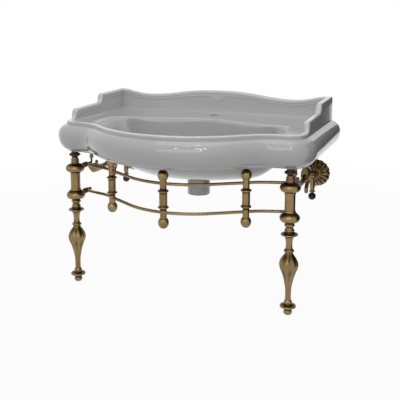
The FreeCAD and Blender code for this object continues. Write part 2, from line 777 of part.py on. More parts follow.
def leaf():
    """Curled leaf that hangs from the arm."""
    y = wall_y - leaf_from_wall
    z = rosette_z
    points = [(y + 12.0, z + 10.0), (y, z - 7.0), (y - 7.0, z - 23.0), (y - 4.0, z - 36.0), (y + 4.0, z - 39.0),
              (y + 8.0, z - 33.0), (y + 1.0, z - 30.0), (y, z - 22.0), (y + 8.0, z - 10.0), (y + 22.0, z + 6.0)]
    return plate(points, leaf_width)


def bracket(side, label):
    x = side * bracket_x
    scroll = front_scroll()
    moulding = cuff()
    arm = rear_arm()
    drop = pendant()
    pieces = {
        "bracket_arm": arm.cut(moulding),
        "bracket_ring": moulding,
        "bracket_scroll": scroll.cut(moulding),
        "bracket_knob": scroll_knob().cut(scroll),
        "wall_rosette": rosette(),
        "bracket_strut": strut().cut(scroll),
        "bracket_pendant": drop.cut(arm),
        "pendant_ball": hanging_ball(),
        "bracket_leaf": leaf().cut(Part.makeCompound([arm, drop])),
    }
    for name, piece in pieces.items():
        piece.translate(v(x, 0, 0))
        save(label + "_" + name, piece)


save("basin", basin())
leg(-1, "left")
leg(1, "right")
rails_and_posts()
bracket(-1, "left")
bracket(1, "right")
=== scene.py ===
import math
import bmesh
import bpy
import numpy as np
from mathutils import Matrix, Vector


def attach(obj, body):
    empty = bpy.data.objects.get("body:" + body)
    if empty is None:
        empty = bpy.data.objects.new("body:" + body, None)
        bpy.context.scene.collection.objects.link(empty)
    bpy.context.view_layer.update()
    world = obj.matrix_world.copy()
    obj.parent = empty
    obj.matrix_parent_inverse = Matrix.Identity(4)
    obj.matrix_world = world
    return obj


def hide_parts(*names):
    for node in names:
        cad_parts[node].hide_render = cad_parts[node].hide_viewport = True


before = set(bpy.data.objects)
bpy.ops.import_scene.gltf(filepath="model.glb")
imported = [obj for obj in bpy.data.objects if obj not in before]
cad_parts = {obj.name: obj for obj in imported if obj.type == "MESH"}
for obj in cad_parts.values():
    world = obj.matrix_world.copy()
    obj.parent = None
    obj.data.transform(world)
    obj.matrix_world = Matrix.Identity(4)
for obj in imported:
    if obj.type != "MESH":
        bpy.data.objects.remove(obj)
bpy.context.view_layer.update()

# Lengths below are millimetres in the shared frame and become metres in makePiece.
legSide = 378.0
legLine = -113.0
wallLine = 310.0
bracketSide = 370.0
# how soon hollows darken, partly patina and partly painted shade: the span that a turned profile is compared
# over, then flutes and leaf folds
patinaAndShade = dict(reach=7.0, flute=4.0, fold=6.0)


# surfaces as grids of points

def smoothStep(x, low, high):
    # 0 below low, 1 above high, and 3 t squared less 2 t cubed between them
    t = np.clip((x - low) / (high - low), 0.0, 1.0)
    return t * t * (3.0 - 2.0 * t)


def throughPoints(x, xs, ys):
    # cubic from point to point, whose slope at each inner point is the harmonic mean of the slopes on
    # its two sides, or nought where they differ in sign
    x = np.asarray(x, float)
    xs = np.asarray(xs, float)
    ys = np.asarray(ys, float)
    step = np.diff(xs)
    slope = np.diff(ys) / step
    before, after = slope[:-1], slope[1:]
    inner = np.where(before * after > 0, 2 * before * after / (before + after + 1e-12), 0.0)
    tangent = np.concatenate([slope[:1], inner, slope[-1:]])
    k = np.clip(np.searchsorted(xs, x) - 1, 0, len(step) - 1)
    t = np.clip((x - xs[k]) / step[k], 0.0, 1.0)
    return (ys[k] * (1 + 2 * t) * (1 - t) ** 2 + tangent[k] * step[k] * t * (1 - t) ** 2
            + ys[k + 1] * t * t * (3 - 2 * t) + tangent[k + 1] * step[k] * t * t * (t - 1))


def gridFaces(rows, columns, wrapRows, first=0):
    # the quad at row r and column c joins it to the next row and the next column, which wraps round
    r, c = np.meshgrid(np.arange(rows if wrapRows else rows - 1), np.arange(columns), indexing="ij")
    nextRow = (r + 1) % rows
    nextColumn = (c + 1) % columns
    quads = np.stack([r * columns + c, r * columns + nextColumn, nextRow * columns + nextColumn,
                      nextRow * columns + c], -1)
    return quads.reshape(-1, 4) + first


def ball(centre, radius, rings=24, around=40):
    # rings of a sphere from its lower to its upper pole
    up = np.linspace(-math.pi / 2, math.pi / 2, rings)[:, None]
    turn = np.linspace(0, 2 * math.pi, around, endpoint=False)[None, :]
    level = radius * np.cos(up)
    return np.stack([centre[0] + level * np.cos(turn), centre[1] + level * np.sin(turn),
                     centre[2] + radius * np.sin(up) + 0 * turn], -1)


def traced(steps, spacing=1.0):
    # points along straight steps and along arcs given by a middle and an end point, each arc on the
    # circle through its three points
    here = np.array(steps[0], float)
    line = [here[None, :]]
    for step in steps[1:]:
        end = np.array(step[-2:], float)
        if len(step) == 4:
            middle = np.array(step[:2], float)
            a, b = middle - here, end - here
            d = 2 * (a[0] * b[1] - a[1] * b[0])
            aa, bb = a @ a, b @ b
            centre = here + np.array([b[1] * aa - a[1] * bb, a[0] * bb - b[0] * aa]) / d
            angles = [math.atan2(*(q - centre)[::-1]) for q in (here, middle, end)]
            sense = 1.0 if d > 0 else -1.0
            sweep = (sense * (angles[2] - angles[0])) % (2 * math.pi) * sense
            radius = math.hypot(*(here - centre))
            count = max(3, int(abs(sweep) * radius / spacing) + 1)
            turn = angles[0] + sweep * np.linspace(0, 1, count + 1)[1:]
            line.append(centre + radius * np.stack([np.cos(turn), np.sin(turn)], -1))
        else:
            count = max(1, int(np.hypot(*(end - here)) / (spacing * 2)))
            line.append(here + (end - here) * np.linspace(0, 1, count + 1)[1:, None])
        here = end
    return np.concatenate(line)


def curved(points, spacing=1.2):
    # a turned profile whose radius runs smoothly through (radius, height) points
    radius, height = np.array(points, float).T
    z = np.linspace(height[0], height[-1], int((height[-1] - height[0]) / spacing) + 1)
    return np.stack([throughPoints(z, height, radius), z], -1)


def recessOf(radius, height):
    # how far each point of a turned profile lies below the fullest radius within reach of it, as a
    # share of that reach, so necks and grooves come out near 1
    near = np.abs(height[:, None] - height[None, :]) < patinaAndShade["reach"]
    fullest = np.where(near, radius[None, :], 0.0).max(1)
    return np.clip((fullest - radius) / patinaAndShade["reach"], 0.0, 1.0)


def lathe(profile, place, bore=0.0, around=72, wave=None):
    # turns (radius, height) points about a vertical axis; with a bore the profile comes back down
    # inside it, otherwise both ends close on the axis
    radius, height = profile[:, 0], profile[:, 1]
    turn = np.linspace(0, 2 * math.pi, around, endpoint=False)
    share = np.ones((len(radius), around)) if wave is None else wave(turn[None, :], height[:, None])
    # the mark darkens the brass in necks, grooves and flute creases, partly patina and partly painted shade;
    # the end faces below take it in full
    mark = np.clip(recessOf(radius, height)[:, None] + (1.0 - share) * patinaAndShade["flute"], 0.0, 1.0)
    ends = [(bore, height[-1]), (bore, height[0])]
    spread = np.concatenate([radius[:, None] * share] + [np.full((1, around), r) for r, z in ends])
    height = np.concatenate([height, [z for r, z in ends]])
    mark = np.concatenate([mark, np.ones((2, around))])
    points = np.stack([place[0] + spread * np.cos(turn), place[1] + spread * np.sin(turn),
                       height[:, None] * np.ones(around)], -1)
    return dict(points=points, mark=mark, wrap=bore > 0)


def sweep(centres, sideways, upward, across, deep, around=40, wave=None, mark=None):
    # an oval section carried along a line: its point at each turn is the centre, plus the cosine
    # times across along sideways, plus the sine times deep along upward
    turn = np.linspace(0, 2 * math.pi, around, endpoint=False)
    along = np.linspace(0, 1, len(centres))[:, None]
    share = np.ones((len(centres), around)) if wave is None else wave(turn[None, :], along)
    cosine = (across[:, None] * np.cos(turn) * share)[..., None]
    sine = (deep[:, None] * np.sin(turn) * share)[..., None]
    points = centres[:, None, :] + cosine * sideways[:, None, :] + sine * upward[:, None, :]
    # the mark darkens the folds, partly patina and partly painted shade
    folded = np.clip((share.max(1, keepdims=True) - share) * patinaAndShade["fold"], 0, 1)
    shade = folded if mark is None else mark
    spot = np.zeros((1, around, 3))
    points = np.concatenate([centres[:1, None, :] + spot, points, centres[-1:, None, :] + spot])
    shade = np.concatenate([shade[:1], shade, shade[-1:]])
    return dict(points=points, mark=shade, wrap=False)


def inPlane(x, line):
    # a line of (y, z) points at one x, with the sideways and upward directions of its sections
    centres = np.stack([np.full(len(line), x), line[:, 0], line[:, 1]], -1)
    along = np.gradient(centres, axis=0)
    along /= np.linalg.norm(along, axis=1)[:, None]
    sideways = np.tile([1.0, 0.0, 0.0], (len(line), 1))
    return centres, sideways, np.cross(along, sideways)


def makePiece(name, grids, material, replaced, body="frame", sharp=38.0):
    # joins grids of points into one mesh in metres, merges the points that meet at poles, seams and
    # ends, and turns every face outward
    points, faces, marks, first = [], [], [], 0
    for grid in grids:
        rows, columns = grid["points"].shape[:2]
        faces.append(gridFaces(rows, columns, grid["wrap"], first))
        points.append(grid["points"].reshape(-1, 3) * 0.001)
        marks.append(grid["mark"].reshape(-1))
        first += rows * columns
    points = np.concatenate(points)
    faces = np.concatenate(faces)
    mesh = bpy.data.meshes.new(name)
    mesh.from_pydata(points.tolist(), [], faces.tolist())
    # each grid's mark goes to the recess attribute: painted shade with patina on the brass, painted light on
    # the glaze
    recess = mesh.attributes.new("recess", "FLOAT", "POINT")
    recess.data.foreach_set("value", np.concatenate(marks).astype(np.float32))
    shape = bmesh.new()
    shape.from_mesh(mesh)
    bmesh.ops.remove_doubles(shape, verts=shape.verts, dist=2e-6)
    bmesh.ops.recalc_face_normals(shape, faces=shape.faces)
    shape.to_mesh(mesh)
    shape.free()
    mesh.polygons.foreach_set("use_smooth", np.ones(len(mesh.polygons), bool))
    mesh.set_sharp_from_angle(angle=math.radians(sharp))
    piece = bpy.data.objects.new(name, mesh)
    bpy.context.scene.collection.objects.link(piece)
    mesh.materials.append(material)
    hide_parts(*replaced)
    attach(piece, body)
    return piece


# materials

class Wire:
    # a socket of a node tree, so that shader sums read as sums
    def __init__(self, graph, socket):
        self.graph = graph
        self.socket = socket

    def __add__(self, other):
        return self.graph.maths("ADD", self, other)

    def __sub__(self, other):
        return self.graph.maths("SUBTRACT", self, other)

    def __rsub__(self, other):
        return self.graph.maths("SUBTRACT", other, self)

    def __mul__(self, other):
        return self.graph.maths("MULTIPLY", self, other)

    def clamped(self):
        return self.graph.maths("ADD", self, 0.0, use_clamp=True)

    __radd__ = __add__
    __rmul__ = __mul__


class Graph:
    # the node tree of one material or of the world
    def __init__(self, owner):
        owner.use_nodes = True
        self.owner = owner
        self.tree = owner.node_tree
        self.tree.nodes.clear()

    def add(self, kind, values=None, settings=None):
        node = self.tree.nodes.new(kind)
        for key, value in (settings or {}).items():
            setattr(node, key, value)
        for key, value in (values or {}).items():
            if isinstance(value, Wire):
                self.tree.links.new(value.socket, node.inputs[key])
            else:
                node.inputs[key].default_value = value
        return node

    def out(self, kind, values=None, settings=None, socket=0):
        return Wire(self, self.add(kind, values, settings).outputs[socket])

    def maths(self, operation, a, b, use_clamp=False):
        return self.out("ShaderNodeMath", {0: a, 1: b}, dict(operation=operation, use_clamp=use_clamp))

    def mixed(self, factor, a, b):
        return self.out("ShaderNodeMix", {0: factor, 6: a, 7: b}, dict(data_type="RGBA"), socket=2)

    def place(self, scale=(1.0, 1.0, 1.0)):
        here = self.out("ShaderNodeTexCoord", socket="Object")
        return self.out("ShaderNodeMapping", {"Vector": here, "Scale": scale})

    def noise(self, scale, detail=3.0, rough=0.5, stretch=(1.0, 1.0, 1.0)):
        values = {"Vector": self.place(stretch), "Scale": scale, "Detail": detail, "Roughness": rough}
        return self.out("ShaderNodeTexNoise", values, dict(noise_dimensions="3D"))

    def recess(self):
        # the mark that each mesh carries in its recess attribute: painted shade with patina on the brass,
        # painted light on the glaze
        settings = dict(attribute_name="recess", attribute_type="GEOMETRY")
        return self.out("ShaderNodeAttribute", None, settings, socket="Fac")

    def step(self, value, low, high):
        return self.out("ShaderNodeMapRange", {"Value": value, "From Min": low, "From Max": high},
                        dict(interpolation_type="SMOOTHSTEP"))

    def bump(self, height, strength, distance):
        return self.out("ShaderNodeBump", {"Height": height, "Strength": strength, "Distance": distance})

    def background(self):
        # 1 for camera, glossy and transmission rays, which meet the white background
        path = self.add("ShaderNodeLightPath")
        camera, glossy, through = (Wire(self, path.outputs["Is " + kind + " Ray"])
                                   for kind in ("Camera", "Glossy", "Transmission"))
        return (camera + glossy + through).clamped()

    def finish(self, values):
        surface = self.out("ShaderNodeBsdfPrincipled", values)
        self.add("ShaderNodeOutputMaterial", {"Surface": surface})
        return self.owner


def newGraph(name):
    return Graph(bpy.data.materials.new(name))


def glazeMaterial():
    # two greys in broad clouds, and a paler one of painted light by the recess attribute, which is faint in
    # the bowl, rises over the deck and up the inside of the walls, and is nought outside
    # thick is the paler grey of painted light on the deck and the inside of the walls, not a thicker glaze
    look = dict(pale=(0.445, 0.445, 0.447, 1), deep=(0.415, 0.415, 0.417, 1), thick=(0.60, 0.60, 0.604, 1),
                rough=0.05, wave=0.03)
    g = newGraph("glaze")
    paintedLightShare = g.recess()
    broad = g.noise(3.2, 2.0)
    ripple = g.noise(9.0, 1.5)
    speck = g.noise(240.0, 2.0)
    colour = g.mixed(g.step(broad, 0.3, 0.7), look["pale"], look["deep"])
    colour = g.mixed(paintedLightShare, colour, look["thick"])
    return g.finish({
        "Base Color": colour, "Roughness": broad * 0.04 + look["rough"] + speck * 0.02, "IOR": 1.52,
        "Coat Weight": 0.35, "Coat Roughness": 0.03,
        "Normal": g.bump(ripple + speck * 0.01, look["wave"], 0.01),
    })


def brassMaterial(name, bright, dark, patinaAndShadeColour, rough):
    # polished crowns, and hollows darkened by the recess attribute, partly patina and partly painted shade,
    # clouded by noise, and fine turning lines
    g = newGraph(name)
    recess = g.recess()
    cloud = g.noise(38.0, 4.0, 0.6)
    patch = g.noise(11.0, 3.0, 0.55)
    lines = g.noise(1.0, 2.0, 0.5, stretch=(40.0, 40.0, 1900.0))
    # the recess mark mixes in the darkest colour: patina in the hollows together with painted shade
    patinaAndShadeShare = g.step(recess * 1.1 + (cloud - 0.5) * 0.2, 0.25, 1.05)
    colour = g.mixed(g.step(cloud * 0.25 + patch * 0.95, 0.4, 0.85), bright, dark)
    colour = g.mixed(patinaAndShadeShare, colour, patinaAndShadeColour)
    return g.finish({
        "Base Color": colour, "Metallic": 1.0, "Roughness": (cloud * 0.10 + rough + patinaAndShadeShare * 0.12).clamped(),
        "Normal": g.bump(lines * 0.3 + patch * 0.2, 0.06, 0.0005),
    })


def darkMaterial(name, low, high, rough, metallic, grain):
    # one noise mixes the two colours, roughens the surface and raises a slight grain
    g = newGraph(name)
    cloud = g.noise(grain, 3.0)
    return g.finish({
        "Base Color": g.mixed(cloud, low, high), "Metallic": metallic, "Roughness": cloud * 0.2 + rough,
        "Normal": g.bump(cloud, 0.2, 0.0008),
    })


def floorMaterial():
    # the camera and reflections see mostly plain white with the shadow's share of the real floor,
    # and only white further off; every other ray meets the real floor
    look = dict(share=0.95, near=1.0, far=2.6, colour=(0.62, 0.62, 0.62, 1))
    g = newGraph("paleFloor")
    away = g.out("ShaderNodeVectorMath", {0: g.place()}, dict(operation="LENGTH"), socket="Value")
    share = g.step(away, look["near"], look["far"]) * (1.0 - look["share"]) + look["share"]
    real = g.out("ShaderNodeBsdfDiffuse", {"Color": look["colour"]})
    plain = g.out("ShaderNodeEmission", {"Color": (1, 1, 1, 1), "Strength": 1.0})
    mixed = g.out("ShaderNodeMixShader", {0: g.background() * share, 1: real, 2: plain})
    g.add("ShaderNodeOutputMaterial", {"Surface": mixed})
    return g.owner


# the darkest brass colour stands for patina and painted shade in the hollows
brassLook = dict(bright=(0.31, 0.213, 0.103, 1), dark=(0.21, 0.14, 0.064, 1), patinaAndShadeColour=(0.04, 0.025, 0.011, 1),
                 rough=0.22)
glaze = glazeMaterial()
brass = brassMaterial("brass", **brassLook)
darkBall = darkMaterial("darkBall", (0.018, 0.015, 0.012, 1), (0.05, 0.04, 0.028, 1), 0.28, 0.6, 60.0)
rubber = darkMaterial("rubber", (0.012, 0.011, 0.010, 1), (0.028, 0.025, 0.022, 1), 0.42, 0.0, 90.0)
steel = darkMaterial("steel", (0.36, 0.36, 0.35, 1), (0.5, 0.5, 0.48, 1), 0.3, 1.0, 70.0)
print("materials made")


# the basin casting

basinLook = dict(
    bow=(0.0, 65.0, 345.0, 40.0), flank=63.5, shoulder=130.0, corner=54.0, side=420.0,
    rollLow=470.0, rollMiddle=521.0, rollHigh=558.0, rollReach=30.0, bead=569.0, deck=563.0,
    beadWidth=27.0, wall=15.0, deckUnder=549.0, rimWall=24.0, taper=11.0, edgeRound=6.5,
    waste=(87.0, 22.5, 31.0, 40.0), bowlDepth=184.0, bowlWall=13.0, spigotEnd=306.0,
    bandRelief=2.3, bandEdges=((10.5, 12.3), (21.0, 23.0)), cuspDepth=21.0, cuspHalf=36.0, cuspAt=-6.0,
    drawnFrom=250.0, taperFrom=-54.0,
)
# steps of the side walls: a hollow foot, its lift, the upright and the rounded edge, then for each step
# its start and the heights below and above it, and how far the run behind it climbs
sideSteps = dict(hollow=20.0, lift=13.0, upright=2.0, edge=11.0, lower=(-77.0, 569.0, 604.0),
                 upper=(101.0, 608.0, 639.0), climb=4.0)


def lipLine():
    # half of the lip line from the middle of the front, as points and outward directions: an arc, a
    # straight flank, a hollow arc, a short straight, the corner's quarter circle and the side
    look = basinLook
    t = math.radians(look["bow"][3])
    radius = look["bow"][2]
    a = np.linspace(0, t, 45)[:, None]
    centre = np.array(look["bow"][:2])
    outward = np.concatenate([np.sin(a), -np.cos(a)], 1)
    parts = [(centre + radius * outward, outward)]
    last = parts[0][0][-1]
    flat = outward[-1]
    f = np.linspace(0, 1, 12)[1:, None]
    ahead = np.array([math.cos(t), math.sin(t)])
    parts.append((last + f * look["flank"] * ahead, np.repeat(flat[None], len(f), 0)))
    last = parts[1][0][-1]
    hollow = last + look["shoulder"] * flat
    a = np.linspace(t, 0, 19)[1:, None]
    outward = np.concatenate([np.sin(a), -np.cos(a)], 1)
    parts.append((hollow - look["shoulder"] * outward, outward))
    last = parts[2][0][-1]
    cornerX = look["side"] - look["corner"]
    f = np.linspace(0, 1, 4)[1:, None]
    parts.append((last + f * np.array([cornerX - last[0], 0.0]), np.repeat([[0.0, -1.0]], 3, 0)))
    a = np.linspace(0, math.pi / 2, 23)[1:, None]
    outward = np.concatenate([np.sin(a), -np.cos(a)], 1)
    middle = np.array([cornerX, last[1] + look["corner"]])
    parts.append((middle + look["corner"] * outward, outward))
    y = sideStations(middle[1])[:, None]
    parts.append((np.concatenate([0 * y + look["side"], y], 1), np.repeat([[1.0, 0.0]], len(y), 0)))
    return np.concatenate([p for p, n in parts]), np.concatenate([n for p, n in parts])


def sideStations(start):
    # places along the side, close together where the upstand steps
    foot = np.array([0.0, 3.5, 7.0, 10.0, 12.5, 14.8, 16.8, 18.3, 19.4, 20.0, 20.5, 21.0, 21.5, 22.0, 22.2,
                     22.7, 23.6, 25.0, 26.9, 29.2, 31.5, 33.5])
    spacing = 7.0
    secondStep, drawnFrom = sideSteps["upper"][0], basinLook["drawnFrom"]
    lower = foot + start - 2.9
    upper = foot + secondStep
    runs = [lower[lower > start + 0.5], np.arange(lower[-1] + spacing, secondStep - 4.0, spacing), upper,
            np.arange(upper[-1] + spacing, drawnFrom, spacing), np.linspace(drawnFrom, wallLine, 11)]
    return np.concatenate(runs)


def sideHeight(y):
    # top of the side wall: bead, concave foot, upright step, rounded edge and a run that rises
    # slightly to the wall; then the same again to the high run. Foot and edge are quarter ovals: the
    # root of 1 less the square of the distance
    look = sideSteps
    hollow, lift, upright, edge = look["hollow"], look["lift"], look["upright"], look["edge"]
    length = hollow + upright + edge

    def quarter(t):
        return np.sqrt(np.clip(1.0 - np.clip(t, 0, 1) ** 2, 0, 1))

    def stepAt(at, low, high):
        foot = low + lift * (1.0 - quarter((y - at) / hollow))
        ease = high - edge + edge * quarter((at + length - y) / edge)
        rise = np.clip((y - at - hollow) / upright, 0.0, 1.0)
        between = (low + lift) * (1 - rise) + (high - edge) * rise
        return np.where(y < at + hollow, foot, np.where(y < at + hollow + upright, between, ease))

    def climb(start, end):
        return np.where(y > start, (y - start) / (end - start) * look["climb"], 0.0)

    secondStep = look["upper"][0]
    low = stepAt(*look["lower"]) + climb(look["lower"][0] + length, secondStep)
    high = stepAt(*look["upper"]) + climb(secondStep + length, wallLine)
    return np.where(y < secondStep, low, high)


def backHeight(x):
    # top of the back wall: a long hump between two dips, rising again to the corners
    places = [0, 60, 120, 190, 240, 290, 327, 365, 392, 420]
    heights = [649, 647.6, 643.2, 633.6, 628.2, 626, 628.3, 634.8, 640.5, 643]
    return throughPoints(np.abs(x), places, heights)


def closedSpline(points, count=1600):
    # closed curve through the points with matching slopes and bends, its parameter the chord length:
    # the bends solve a ring of three-term equations
    n = len(points)
    chord = np.hypot(*(np.roll(points, -1, 0) - points).T)
    before = np.roll(chord, 1)
    matrix = np.zeros((n, n))
    rows = np.arange(n)
    matrix[rows, rows] = 2 * (chord + before)
    matrix[rows, (rows - 1) % n] = before
    matrix[rows, (rows + 1) % n] = chord
    slope = (np.roll(points, -1, 0) - points) / chord[:, None]
    bend = np.linalg.solve(matrix, 6 * (slope - np.roll(slope, 1, 0)))
    s = np.linspace(0, chord.sum(), count, endpoint=False)
    knots = np.concatenate([[0], np.cumsum(chord)])
    k = np.clip(np.searchsorted(knots, s, side="right") - 1, 0, n - 1)
    h = chord[k][:, None]
    b = ((s - knots[k]) / chord[k])[:, None]
    a = 1 - b
    after = (k + 1) % n
    return (a * points[k] + b * points[after]
            + ((a ** 3 - a) * bend[k] + (b ** 3 - b) * bend[after]) * h * h / 6)


# half of the bowl's edge, with the place on the lip line that each point faces
bowlOutline = np.array([
    (0.0, -246.0), (91.0, -232.4), (155.5, -204.3), (200.0, -173.0), (248.0, -131.0), (290.0, -98.0),
    (318.0, -60.0), (327.0, -10.0), (325.0, 40.0), (314.0, 74.0), (289.0, 88.0), (248.0, 87.0),
    (199.6, 92.0), (148.0, 109.0), (80.5, 134.0), (0.0, 153.0)])
facing = np.array([
    (0.0, -280.0), (101.0, -265.0), (172.5, -233.8), (221.8, -199.3), (270.4, -158.5), (320.0, -132.5),
    (385.0, -124.0), (420.0, -40.0), (420.0, 40.0), (420.0, 120.0), (420.0, 215.0), (420.0, 310.0),
    (300.0, 310.0), (205.0, 310.0), (100.0, 310.0), (0.0, 310.0)])
# share of the depth, and of the width, front and back that are left there, inside and under the bowl
bowlLevels = np.array([
    (0.00, 1.00, 1.00, 1.00), (0.12, 0.962, 0.965, 0.97), (0.35, 0.895, 0.88, 0.92),
    (0.58, 0.81, 0.745, 0.86), (0.72, 0.725, 0.63, 0.79), (0.85, 0.60, 0.47, 0.66),
    (0.95, 0.41, 0.28, 0.48), (1.00, 0.16, 0.11, 0.24)])
shellLevels = np.array([
    (0.00, 1.00, 1.00, 1.00), (0.12, 0.975, 0.965, 0.97), (0.35, 0.925, 0.88, 0.92),
    (0.58, 0.86, 0.745, 0.86), (0.72, 0.78, 0.63, 0.79), (0.85, 0.64, 0.47, 0.66),
    (0.95, 0.42, 0.28, 0.48), (1.00, 0.16, 0.11, 0.24)])


def basinSurface():
    # one closed skin as rows of equally many points, each row a closed line round the basin: from the
    # waste bore up the bowl, over the deck and the wall, down the roll, and back under the shell
    look = basinLook
    sideX = look["side"]
    half, outward = lipLine()
    flip = np.array([-1.0, 1.0])
    backX = np.concatenate([np.linspace(sideX, 56.0, 48)[1:], np.linspace(50.0, -50.0, 27),
                            np.linspace(-56.0, -sideX, 48)[:-1]])
    back = np.stack([backX, np.full(len(backX), wallLine)], -1)
    line = np.concatenate([half, back, half[:0:-1] * flip])
    away = np.concatenate([outward, np.repeat([[0.0, 1.0]], len(back), 0), outward[:0:-1] * flip])
    count = len(line)
    isBack = np.zeros(count, bool)
    isBack[len(half):len(half) + len(back)] = True
    sideFrom = sideSteps["lower"][0] - 1.0
    onSide = (~isBack) & (np.abs(line[:, 0]) > sideX - 8.0) & (line[:, 1] > sideFrom)
    drawnFrom = look["drawnFrom"]
    drawnRun = wallLine - drawnFrom

    def placed(n, z, inward=0.0):
        # the lip line moved outwards by n; the back keeps to the wall less inward, and the last
        # stretch of the sides draws up to it
        n = np.broadcast_to(np.asarray(n, float), (count,))
        x = np.where(isBack, line[:, 0] * (sideX + n) / sideX, line[:, 0] + n * away[:, 0])
        sideY = line[:, 1] + n * away[:, 1]
        drawn = drawnFrom + (sideY - drawnFrom) * (drawnRun - inward) / drawnRun
        y = np.where(isBack, wallLine - inward, np.where(onSide & (line[:, 1] > drawnFrom), drawn, sideY))
        return np.stack([x, y, np.broadcast_to(np.asarray(z, float), (count,))], -1)

    top = np.where(isBack, backHeight(line[:, 0]), np.where(onSide, sideHeight(line[:, 1]), look["bead"]))
    slim = np.where(onSide, smoothStep(line[:, 1], sideFrom, sideFrom + 16.0), isBack * 1.0)
    thick = look["beadWidth"] + (look["wall"] - look["beadWidth"]) * slim
    tall = top - look["deck"]
    footR = np.minimum(4.0, 0.3 * tall)
    roundR = np.minimum(look["edgeRound"], 0.6 * tall)
    full = smoothStep(tall, 32.0, 39.0)
    fromCusp = np.clip(np.abs(line[:, 0] - look["cuspAt"]) / look["cuspHalf"], 0.0, 1.0)
    cusp = np.where(isBack, look["cuspDepth"] * (0.5 + 0.5 * np.cos(math.pi * fromCusp)) ** 0.75, 0.0)

    # bowl edge matched to the lip line by shares of their lengths between landmarks
    mirrored = bowlOutline[-2:0:-1] * flip
    curve = closedSpline(np.concatenate([bowlOutline, mirrored]))
    curve = np.concatenate([curve, curve[:1]])
    length = np.concatenate([[0], np.cumsum(np.hypot(*np.diff(curve, axis=0).T))])
    nearest = [np.argmin(np.hypot(*(curve - p).T)) for p in bowlOutline]
    lineLength = np.concatenate([[0], np.cumsum(np.hypot(*np.diff(line, axis=0).T))])
    total = lineLength[-1] + np.hypot(*(line[0] - line[-1]))
    marks = np.array([lineLength[np.argmin(np.hypot(*(line - p).T))] for p in facing])
    marks[-1] = total / 2
    ours = np.concatenate([marks, total - marks[-2::-1]])
    theirs = length[nearest]
    theirs = np.concatenate([theirs, length[-1] - theirs[-2::-1]])
    at = np.interp(lineLength, ours, theirs)
    edge = np.stack([np.interp(at, length, curve[:, 0]), np.interp(at, length, curve[:, 1])], -1)
    ahead = np.roll(edge, -1, 0) - np.roll(edge, 1, 0)
    ahead /= np.hypot(*ahead.T)[:, None]
    edgeOut = np.stack([ahead[:, 1], -ahead[:, 0]], -1)
    angle = -math.pi / 2 + 2 * math.pi * at / length[-1]
    circle = np.stack([np.cos(angle), np.sin(angle)], -1)
    wasteY, boreR, seatR, spigotR = look["waste"]
    wasteAt = np.array([0.0, wasteY])

    def ring(radius, z):
        # a level circle round the waste
        return np.concatenate([wasteAt + radius * circle, np.full((count, 1), z)], 1)

    def bowlRow(levels, q, grow, z, circleR):
        # the outline drawn in towards the waste by the shares for depth q, and near the bottom
        # turning into a circle
        wide, fore, aft = (throughPoints(q, levels[:, 0], levels[:, k]) for k in (1, 2, 3))
        rearward = smoothStep(edge[:, 1], wasteY - 14.0, wasteY + 14.0)
        reach = fore + (aft - fore) * rearward
        offset = np.stack([edge[:, 0] * wide, (edge[:, 1] - wasteY) * reach], -1)
        offset = offset * (1 + grow / np.maximum(np.hypot(*offset.T), 20.0))[:, None]
        turned = smoothStep(np.float64(q), 0.86, 1.0)
        offset = offset * (1 - turned) + circle * circleR * turned
        return np.stack([*(wasteAt + offset).T, np.broadcast_to(z, (count,))], -1)

    # the bowl's edge is rounder at its two ends, where the deck beside it is wide
    deck = look["deck"]
    bowlBottom = deck - look["bowlDepth"]
    wallFoot = placed(-thick - footR, deck, thick + footR)[:, :2]
    land = np.sum((wallFoot - edge) * edgeOut, 1)
    ends = smoothStep(np.abs(edge[:, 0]), 230.0, 325.0) * (1.0 - smoothStep(edge[:, 1], 0.0, 80.0))
    edgeR = np.minimum(8.0 + 14.0 * ends, 0.75 * np.maximum(land, 1.0))
    edgeDeep = 8.0 + 7.0 * ends
    edgeShare = 0.045
    rows = [ring(boreR, bowlBottom - 4.0), ring(seatR - 1.0, bowlBottom - 0.6)]
    depths = [np.linspace(1.0, 0.86, 9), np.linspace(0.84, 0.3, 20), np.linspace(0.27, edgeShare, 9)]
    for q in np.concatenate(depths):
        z = deck - edgeDeep - (q - edgeShare) / (1.0 - edgeShare) * (look["bowlDepth"] - edgeDeep)
        rows.append(bowlRow(bowlLevels, q, 0.0, z, seatR))
    for a in np.radians([12.0, 30.0, 48.0, 66.0, 80.0, 90.0]):
        spread = edge + edgeOut * (edgeR * (1 - math.cos(a)))[:, None]
        rows.append(np.stack([*spread.T, deck - edgeDeep * (1 - math.sin(a))], -1))
    bowlRows = len(rows)
    start = edge + edgeOut * edgeR[:, None]
    for f in (0.06, 0.16, 0.3, 0.45, 0.6, 0.75, 0.88, 0.96):
        rows.append(np.concatenate([start + (wallFoot - start) * f, np.full((count, 1), deck)], 1))
    for a in np.radians([0.0, 25.0, 50.0, 72.0]):
        inset = thick + footR * (1 - math.sin(a))
        rows.append(placed(-inset, deck + footR * (1 - math.cos(a)), inset))
